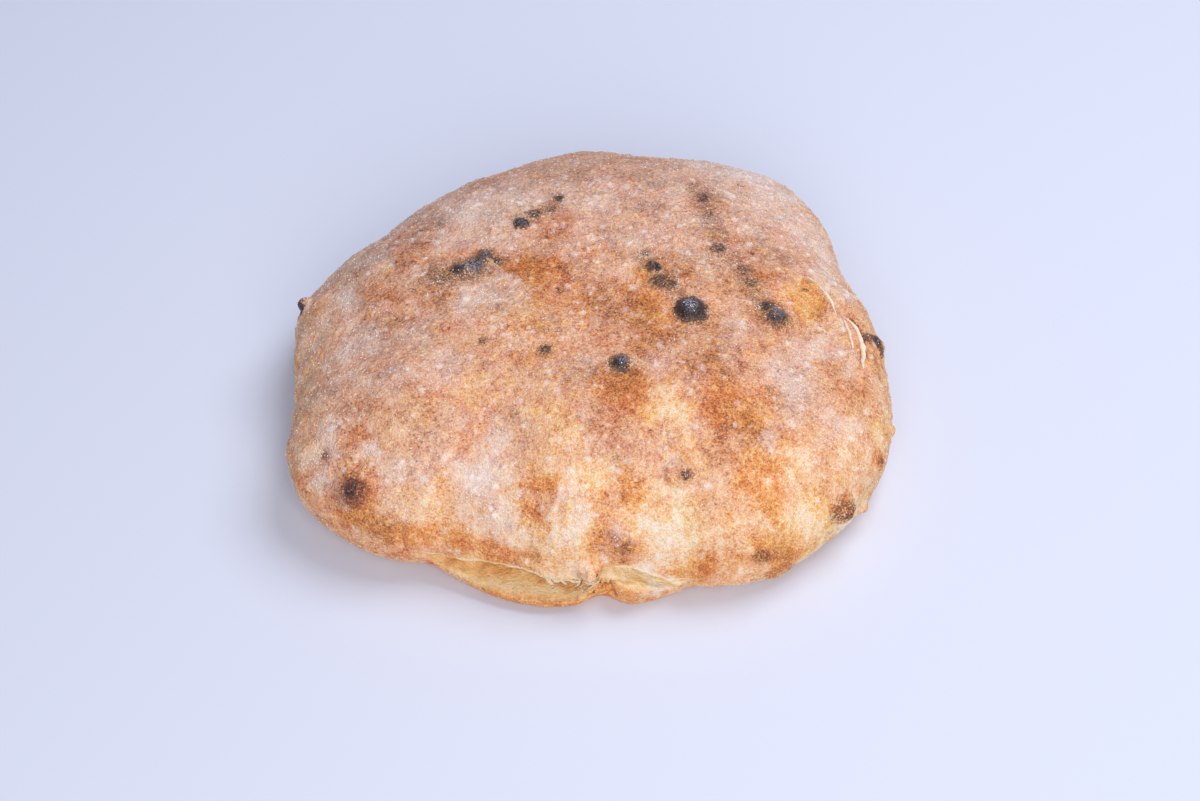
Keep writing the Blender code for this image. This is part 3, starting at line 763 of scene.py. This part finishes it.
# Spans of the crust's speckle in millimetres, and the noise's detail: grit and dust of flour,
# the pebbled skin, and the mottle and blotches of the browning. Real flour is finer than its
# grit and grains here, which are drawn two or three times as coarse so that they show.
SPECKLE = {"grit": (0.6, 0.0), "dust": (1.3, 1.0), "skin": (3.0, 2.0), "mottle": (7.0, 2.0),
           "blotch": (16.0, 2.0)}
SPECKLE_STEP = 3.7
GRAIN = 0.5
# How far each speckle swings the toast, the flour, which lies thin where the crust is dark,
# the char and its painted shade, as a share of itself, the ash and painted glints, the hue and
# the crumb, and what raises the bumps
TOAST_SWING = {"blotch": 0.44, "mottle": 0.50, "skin": 0.42, "dust": 0.44, "grit": 0.44, "grain": 0.24}
FLOUR_SWING = {"mottle": -0.32, "skin": -0.30, "dust": -0.36, "grit": -0.44, "grain": 0.12}
CHAR_AND_SHADE_SWING = {"dust": 0.5, "grit": 1.1, "grain": 0.5}
ASH_AND_GLINT_SWING = {"grit": 4.0}
HUE_SWING = {"blotch": 0.05}
CRUMB_SWING = {"flour": 0.5, "skin": 0.6, "pitted": -0.4}
BUMP_SWING = {"dust": 1.5}
# Colours by level: crust from cream to brown, char that is red-brown low on the loaf and
# olive-brown on top, where soot settled, and crumb from its painted shade in the pits to its skin
CRUST_COLOURS = ((0.0, "#fbe6cc"), (0.2, "#f7d098"), (0.4, "#efac60"), (0.6, "#da8546"),
                 (0.8, "#b15f32"), (1.0, "#6f381d"))
CHAR_COLOURS = ((0.1, "#b27c54"), (0.28, "#94583c"), (0.45, "#6f3c2c"), (0.65, "#3e2829"),
                (0.9, "#19141c"))
SOOT_COLOURS = ((0.1, "#a0754f"), (0.28, "#7f593f"), (0.45, "#624533"), (0.65, "#44302d"),
                (0.9, "#19141c"))
CRUMB_COLOURS = ((0.0, "#bb8c62"), (0.25, "#f0bb7c"), (0.45, "#fddb9e"), (0.7, "#fff5e0"))


def speckles(tree, place):
    """Noise about 0 for each span of the speckle, and lone grains."""
    speck = {}
    for number, (name, (span, detail)) in enumerate(SPECKLE.items()):
        field = add(tree, "ShaderNodeTexNoise", {
            "Vector": place, "W": SPECKLE_STEP * number, "Scale": 1.0 / (span * MILLIMETRE),
            "Detail": detail, "Roughness": 0.6}, noise_dimensions="4D").outputs["Fac"]
        speck[name] = add(tree, "ShaderNodeMath", {0: field, 1: -0.5}, operation="ADD").outputs[0]
    grains = add(tree, "ShaderNodeTexVoronoi", {"Vector": place, "Scale": 1.0 / (GRAIN * MILLIMETRE)})
    lone = add(tree, "ShaderNodeSeparateColor", {"Color": grains.outputs["Color"]}).outputs["Red"]
    speck["grain"] = add(tree, "ShaderNodeMath", {0: lone, 1: -0.5}, operation="ADD").outputs[0]
    return speck


def swung(tree, level, fields, swings):
    """The level with the swing of each named field added."""
    for name, reach in swings.items():
        level = add(tree, "ShaderNodeMath", {0: fields[name], 1: reach, 2: level},
                    operation="MULTIPLY_ADD").outputs[0]
    return level


def floured_colour(tree, mask, speck):
    """The colour of toasted crust under a veil of flour."""
    toast = swung(tree, mask["toast"], speck, TOAST_SWING)
    flour = swung(tree, mask["flour"], speck, FLOUR_SWING)
    crust = add(tree, "ShaderNodeValToRGB", {"Fac": toast}, ramp=CRUST_COLOURS).outputs["Color"]
    hue = swung(tree, 0.503, speck, HUE_SWING)
    crust = add(tree, "ShaderNodeHueSaturation", {"Hue": hue, "Color": crust}).outputs["Color"]
    veil = add(tree, "ShaderNodeMapRange", {
        "Value": flour, "From Min": 0.0, "From Max": 1.0, "To Min": 0.0, "To Max": 0.92},
    ).outputs["Result"]
    flour_colour = add(tree, "ShaderNodeMix", {
        "Factor": mask["browned"], 6: linear("#f4ebe5"), 7: linear("#eed9ca")},
        data_type="RGBA").outputs[2]
    return add(tree, "ShaderNodeMix", {"Factor": veil, 6: crust, 7: flour_colour},
               data_type="RGBA").outputs[2]


def burnt_colour(tree, mask, speck, char):
    """The colour of char, sooty on top, with flecks of white ash and of painted highlight."""
    low = add(tree, "ShaderNodeValToRGB", {"Fac": char}, ramp=CHAR_COLOURS).outputs["Color"]
    high = add(tree, "ShaderNodeValToRGB", {"Fac": char}, ramp=SOOT_COLOURS).outputs["Color"]
    burnt = add(tree, "ShaderNodeMix", {"Factor": mask["sooty"], 6: low, 7: high},
                data_type="RGBA").outputs[2]
    # Flecks of white ash and of painted highlight on the charred blisters
    flecks = swung(tree, 0.25, speck, ASH_AND_GLINT_SWING)
    ash = add(tree, "ShaderNodeMath", {0: flecks, 1: mask["ash"]}, operation="MULTIPLY",
              use_clamp=True).outputs[0]
    return add(tree, "ShaderNodeMix", {"Factor": ash, 6: burnt, 7: linear("#c8c6da")},
               data_type="RGBA").outputs[2]


def crumb_colour(tree, mask, speck):
    """The colour of torn crumb, darker where shade is painted in its pits and under the lip, and whiter
    where flour fell on it and where light is painted on the small lobe.
    """
    level = swung(tree, 0.42, dict(mask, skin=speck["skin"]), CRUMB_SWING)
    return add(tree, "ShaderNodeValToRGB", {"Fac": level}, ramp=CRUMB_COLOURS).outputs["Color"]


def baked_crust():
    """Baked wheat crust, dusted with flour: matt, mottled from cream to brown, with charred
    blisters that shine a little and carry painted glints, and with painted light and shade in places."""
    material, tree, shader = new_material("baked_crust")
    place = add(tree, "ShaderNodeTexCoord").outputs["Object"]
    speck = speckles(tree, place)
    mask = {name: add(tree, "ShaderNodeAttribute", attribute_name=name).outputs["Fac"]
            for name in ("toast", "flour", "char", "crumb", "ash", "browned", "sooty", "pitted")}

    char = swung(tree, 1.0, speck, CHAR_AND_SHADE_SWING)
    char = add(tree, "ShaderNodeMath", {0: char, 1: mask["char"]}, operation="MULTIPLY").outputs[0]
    burnt_share = add(tree, "ShaderNodeMapRange", {
        "Value": char, "From Min": 0.06, "From Max": 0.55, "To Min": 0.0, "To Max": 0.98},
        interpolation_type="SMOOTHSTEP").outputs["Result"]
    crust = add(tree, "ShaderNodeMix", {
        "Factor": burnt_share, 6: floured_colour(tree, mask, speck),
        7: burnt_colour(tree, mask, speck, char)}, data_type="RGBA").outputs[2]
    colour = add(tree, "ShaderNodeMix", {
        "Factor": mask["crumb"], 6: crust, 7: crumb_colour(tree, mask, speck)},
        data_type="RGBA").outputs[2]
    tree.links.new(colour, shader.inputs["Base Color"])

    rough = add(tree, "ShaderNodeMapRange", {
        "Value": char, "From Min": 0.4, "From Max": 0.8, "To Min": 0.8, "To Max": 0.28},
    ).outputs["Result"]
    tree.links.new(rough, shader.inputs["Roughness"])
    height = swung(tree, speck["grit"], speck, BUMP_SWING)
    bumps = add(tree, "ShaderNodeBump", {"Height": height, "Strength": 1.0,
                                         "Distance": 0.35 * MILLIMETRE}).outputs["Normal"]
    tree.links.new(bumps, shader.inputs["Normal"])
    return material


# The thin cream edges of the crust that cracked and lifted on the right shoulder: width,
# height and line
FLAKE_EDGES = (
    (1.0, 1.3, ((83, 13, 52.3), (85.3, 10, 52.5), (87, 7, 53), (89, 3.5, 53), (91, 0, 52.5),
                (92, -3.5, 51.8), (93, -8.5, 51.2))),
    (1.0, 1.5, ((96, -4, 46), (97, -7.5, 46), (97.7, -12, 46.5), (98, -19, 48), (98, -24, 48.5))),
    (1.3, 2.0, ((96, -3.5, 46), (99, -5, 45.3), (101, -9, 44.6), (102, -13, 44.2), (102.6, -18, 43.6),
                (102.3, -22, 43.8), (101.3, -29, 45.8), (100, -34, 46))),
)
# The tan strands of dough that hang from the torn lip, or cross the mouth's right end
TORN_STRANDS = (
    (1.8, 1.2, ((-17.5, -101.6, 15.2), (-16.2, -102.2, 13.8), (-15, -102.4, 12.2), (-14.4, -102, 10.6))),
    (1.4, 1.0, ((-15, -102.2, 14.8), (-13.6, -102.6, 13.4), (-12.4, -102.3, 13), (-11.2, -102.6, 14.2))),
    (1.3, 1.0, ((-11.5, -102.4, 14.4), (-10.2, -102.5, 12.2), (-9.4, -102.2, 11.2))),
    (1.2, 1.0, ((-9, -102.3, 14), (-7.4, -102.6, 12.8), (-5.6, -102.4, 12.6), (-4, -102.8, 13.4))),
    (1.0, 0.8, ((-3.5, -102.6, 12.8), (-1.5, -102.9, 11.8), (0.6, -102.6, 11.6), (2.6, -101.8, 12.2))),
    (0.8, 0.6, ((-2, -102.6, 8.6), (-0.8, -102.8, 9.8), (0.4, -102.6, 11), (1.2, -102.3, 12))),
    (0.8, 0.6, ((-6.6, -101.8, 9), (-5.8, -102.1, 10.2), (-5.1, -102.4, 11.6), (-4.6, -102.5, 12.6))),
)
# The strips are swept rings: sides and number of the rings, reach and span of the line's
# waver, share and span of the swelling, the tips' thickness, and each strip's own shift
STRIP_SIDES = 8
STRIP_RINGS = 44
STRIP_WAVER = (0.35, 3.0)
STRIP_SWELL = (0.4, 2.0)
STRIP_TIP = 0.02
STRIP_STEP = 7.0


def strip_rings(line, width, height, shift):
    """Points and faces of a thin uneven strip along a line, closed at both ends."""
    line = np.array(line, float)
    along = np.concatenate([[0.0], np.cumsum(np.linalg.norm(np.diff(line, axis=0), axis=1))])
    place = np.linspace(0.0, along[-1], STRIP_RINGS)
    middle = np.stack([np.interp(place, along, line[:, k]) for k in range(3)], axis=1)
    middle[1:-1] = (middle[:-2] + 2.0 * middle[1:-1] + middle[2:]) / 4.0
    reach, span = STRIP_WAVER
    waver = [unevenness(middle, span, axis_shift + shift) for axis_shift in STRIP_SHIFTS]
    middle += reach * np.stack(waver, axis=1)
    up = middle - np.array([CROWN_AXIS[0], CROWN_AXIS[1], 0.0])
    up /= np.linalg.norm(up, axis=1, keepdims=True)
    ahead = np.gradient(middle, axis=0)
    side = np.cross(ahead, up)
    side /= np.linalg.norm(side, axis=1, keepdims=True)
    taper = np.sqrt(np.clip(np.sin(np.linspace(0.0, np.pi, STRIP_RINGS)), STRIP_TIP, 1.0))
    share, span = STRIP_SWELL
    taper = taper * (1.0 + share * unevenness(middle, span, shift + SHIFT["strip"]))
    turn = np.arange(STRIP_SIDES) * 2.0 * np.pi / STRIP_SIDES
    rings = middle[:, None] + taper[:, None, None] * (
        side[:, None] * np.cos(turn)[None, :, None] * width / 2.0
        + up[:, None] * np.sin(turn)[None, :, None] * height / 2.0)
    faces = []
    for ring in range(0, (STRIP_RINGS - 1) * STRIP_SIDES, STRIP_SIDES):
        for k in range(STRIP_SIDES):
            after = (k + 1) % STRIP_SIDES
            faces.append((ring + k, ring + after, ring + STRIP_SIDES + after, ring + STRIP_SIDES + k))
    faces.append(tuple(reversed(range(STRIP_SIDES))))
    faces.append(tuple((STRIP_RINGS - 1) * STRIP_SIDES + k for k in range(STRIP_SIDES)))
    return rings.reshape(-1, 3).tolist(), faces


def thin_strips(name, strips):
    """Thin uneven strips as one mesh."""
    points, faces = [], []
    for number, (width, height, line) in enumerate(strips):
        more, sides = strip_rings(line, width, height, STRIP_STEP * number)
        faces += [tuple(len(points) + k for k in side) for side in sides]
        points += more
    mesh = bpy.data.meshes.new(name)
    mesh.from_pydata((np.array(points) * MILLIMETRE).tolist(), [], faces)
    shell = bmesh.new()
    shell.from_mesh(mesh)
    bmesh.ops.recalc_face_normals(shell, faces=shell.faces)
    shell.to_mesh(mesh)
    shell.free()
    mesh.shade_smooth()
    return mesh


def plain_material(name, colour, roughness, swing, span):
    """A matt material of one colour whose lightness swings a little over a span."""
    material, tree, shader = new_material(name)
    place = add(tree, "ShaderNodeTexCoord").outputs["Object"]
    patchy = add(tree, "ShaderNodeTexNoise", {"Vector": place, "Scale": 1.0 / (span * MILLIMETRE)})
    value = add(tree, "ShaderNodeMath", {0: patchy.outputs["Fac"], 1: swing, 2: 1.0 - swing / 2.0},
                operation="MULTIPLY_ADD").outputs[0]
    colour = add(tree, "ShaderNodeHueSaturation", {"Value": value, "Color": linear(colour)})
    tree.links.new(colour.outputs["Color"], shader.inputs["Base Color"])
    shader.inputs["Roughness"].default_value = roughness
    return material


# What lies loose: the mask it follows, pieces for each square metre where the mask is full,
# and their radius. Real flour is finer, and these are the small clumps that it makes.
FLOUR_GRAINS = {"Mask": "dusted", "Density": 1.25e6, "Smallest": 0.12 * MILLIMETRE,
                "Largest": 0.34 * MILLIMETRE, "Seed": 5}
CRUMB_SHREDS = {"Mask": "fringe", "Density": 4.5e6, "Smallest": 0.20 * MILLIMETRE,
                "Largest": 0.75 * MILLIMETRE, "Seed": 8}
# How far each may be turned about an axis, in radians, and the seed of the turns
FULL_TURN = 6.28
TURN_SEED = 9


def scatter_tree():
    """Nodes that strew small grains over a surface, where the named mask is high."""
    tree = bpy.data.node_groups.new("strewn_grains", "GeometryNodeTree")
    kinds = {"Geometry": "NodeSocketGeometry", "Mask": "NodeSocketString", "Density": "NodeSocketFloat",
             "Smallest": "NodeSocketFloat", "Largest": "NodeSocketFloat", "Seed": "NodeSocketInt",
             "Material": "NodeSocketMaterial"}
    for name, kind in kinds.items():
        tree.interface.new_socket(name, in_out="INPUT", socket_type=kind)
    tree.interface.new_socket("Geometry", in_out="OUTPUT", socket_type="NodeSocketGeometry")
    given = add(tree, "NodeGroupInput").outputs
    share = add(tree, "GeometryNodeInputNamedAttribute", {"Name": given["Mask"]}, data_type="FLOAT")
    density = add(tree, "ShaderNodeMath", {0: share.outputs["Attribute"], 1: given["Density"]},
                  operation="MULTIPLY").outputs[0]
    spots = add(tree, "GeometryNodeDistributePointsOnFaces", {
        "Mesh": given["Geometry"], "Density": density, "Seed": given["Seed"]})
    size = add(tree, "FunctionNodeRandomValue", {0: given["Smallest"], 1: given["Largest"],
               "Seed": given["Seed"]}, data_type="FLOAT_VECTOR").outputs[0]
    turn = add(tree, "FunctionNodeRandomValue", {
        0: (0.0, 0.0, 0.0), 1: (FULL_TURN, FULL_TURN, FULL_TURN), "Seed": TURN_SEED},
        data_type="FLOAT_VECTOR").outputs[0]
    grain = add(tree, "GeometryNodeMeshIcoSphere", {"Radius": 1.0, "Subdivisions": 1})
    placed = add(tree, "GeometryNodeInstanceOnPoints", {
        "Points": spots.outputs["Points"], "Instance": grain.outputs["Mesh"], "Rotation": turn,
        "Scale": size})
    real = add(tree, "GeometryNodeRealizeInstances", {"Geometry": placed.outputs["Instances"]})
    painted = add(tree, "GeometryNodeSetMaterial", {
        "Geometry": real.outputs["Geometry"], "Material": given["Material"]})
    add(tree, "NodeGroupOutput", {"Geometry": painted.outputs["Geometry"]})
    return tree


def strewn(name, mesh, tree, given):
    """The mesh that the tree makes over a mesh, with the given values of its inputs."""
    thing = in_the_scene(name, mesh)
    modifier = thing.modifiers.new(name, "NODES")
    modifier.node_group = tree
    for socket in tree.interface.items_tree:
        if socket.in_out == "INPUT" and socket.name in given:
            modifier[socket.identifier] = given[socket.name]
    return finished(thing, name)


# Floor, lights, sky and camera, in metres and watts. The camera stands at the photograph's
# viewing angle, tilted and rolled by degrees.
FLOOR_COLOUR = "#dfe4f3"
FLOOR_ROUGHNESS = 0.7
FLOOR_HALF = 2.5
EYE = (0.00373, -0.72836, 0.78052)
EYE_TILT = 42.97
EYE_ROLL = -1.01
LENS = 81.94
LIGHTS = (
    # name, place, size, power, colour
    ("overhead", (0.55, 0.25, 1.20), 0.9, 9.6, "#f8f9ff"),
    ("front_fill", (0.10, -1.35, 0.95), 1.3, 16.5, "#fdfaf8"),
)
SKY = ("#e2e8ff", 0.34)


def studio():
    """The pale floor, the soft lights and the camera."""
    mesh = bpy.data.meshes.new("floor")
    half = FLOOR_HALF
    mesh.from_pydata([(-half, -half, 0), (half, -half, 0), (half, half, 0), (-half, half, 0)],
                     [], [(0, 1, 2, 3)])
    floor = in_the_scene("floor", mesh)
    # Painted board: pale and matt, so that it takes soft shadows and no reflections
    material, _, shader = new_material("matt_board")
    shader.inputs["Base Color"].default_value = linear(FLOOR_COLOUR)
    shader.inputs["Roughness"].default_value = FLOOR_ROUGHNESS
    mesh.materials.append(material)

    for name, place, size, power, colour in LIGHTS:
        light = bpy.data.lights.new(name, "AREA")
        light.shape = "DISK"
        light.size = size
        light.energy = power
        light.color = linear(colour)[:3]
        lamp = in_the_scene(name, light)
        lamp.location = place
        lamp.rotation_euler = (-Vector(place)).to_track_quat("-Z", "Y").to_euler()

    world = bpy.data.worlds.new("soft_room")
    world.use_nodes = True
    background = world.node_tree.nodes["Background"]
    background.inputs["Color"].default_value = linear(SKY[0])
    background.inputs["Strength"].default_value = SKY[1]
    bpy.context.scene.world = world
    bpy.context.scene.view_settings.view_transform = "Standard"

    camera = bpy.data.cameras.new("camera")
    camera.lens = LENS
    eye = in_the_scene("camera", camera)
    tilt = Matrix.Rotation(np.radians(EYE_TILT), 4, "X")
    eye.matrix_world = Matrix.Translation(EYE) @ tilt @ Matrix.Rotation(np.radians(EYE_ROLL), 4, "Z")
    bpy.context.scene.camera = eye


def add_piece(name, mesh, material):
    """An object of the finished mesh, riding the loaf."""
    mesh.materials.clear()
    mesh.materials.append(material)
    piece = in_the_scene(name, mesh)
    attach(piece, "root")
    return piece


def main():
    studio()
    crust = lighter(fine_loaf("fine_loaf"), "lepinja_crust")
    set_masks(crust)
    # Wheat flour in clumps: white, dull and even
    loose_flour = plain_material("loose_flour", "#f6ede6", 0.9, 0.1, 2.0)
    # Broken crust, baked on its face only: its edge is cream and a little uneven
    torn_edge = plain_material("torn_edge", "#f6e6cc", 0.8, 0.3, 1.5)
    # Torn dough that dried in the oven: tan, matt and uneven
    torn_dough = plain_material("torn_dough", "#e6cda8", 0.8, 0.4, 1.5)
    tree = scatter_tree()
    grains = strewn("flour_grains", crust, tree, dict(FLOUR_GRAINS, Material=loose_flour))
    shreds = strewn("crumb_shreds", crust, tree, dict(CRUMB_SHREDS, Material=torn_dough))
    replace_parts(add_piece("lepinja_crust", crust, baked_crust()), "lepinja")
    add_piece("flour_grains", grains, loose_flour)
    add_piece("crumb_shreds", shreds, torn_dough)
    add_piece("flake_edges", thin_strips("flake_edges", FLAKE_EDGES), torn_edge)
    add_piece("torn_strands", thin_strips("torn_strands", TORN_STRANDS), torn_dough)


main()
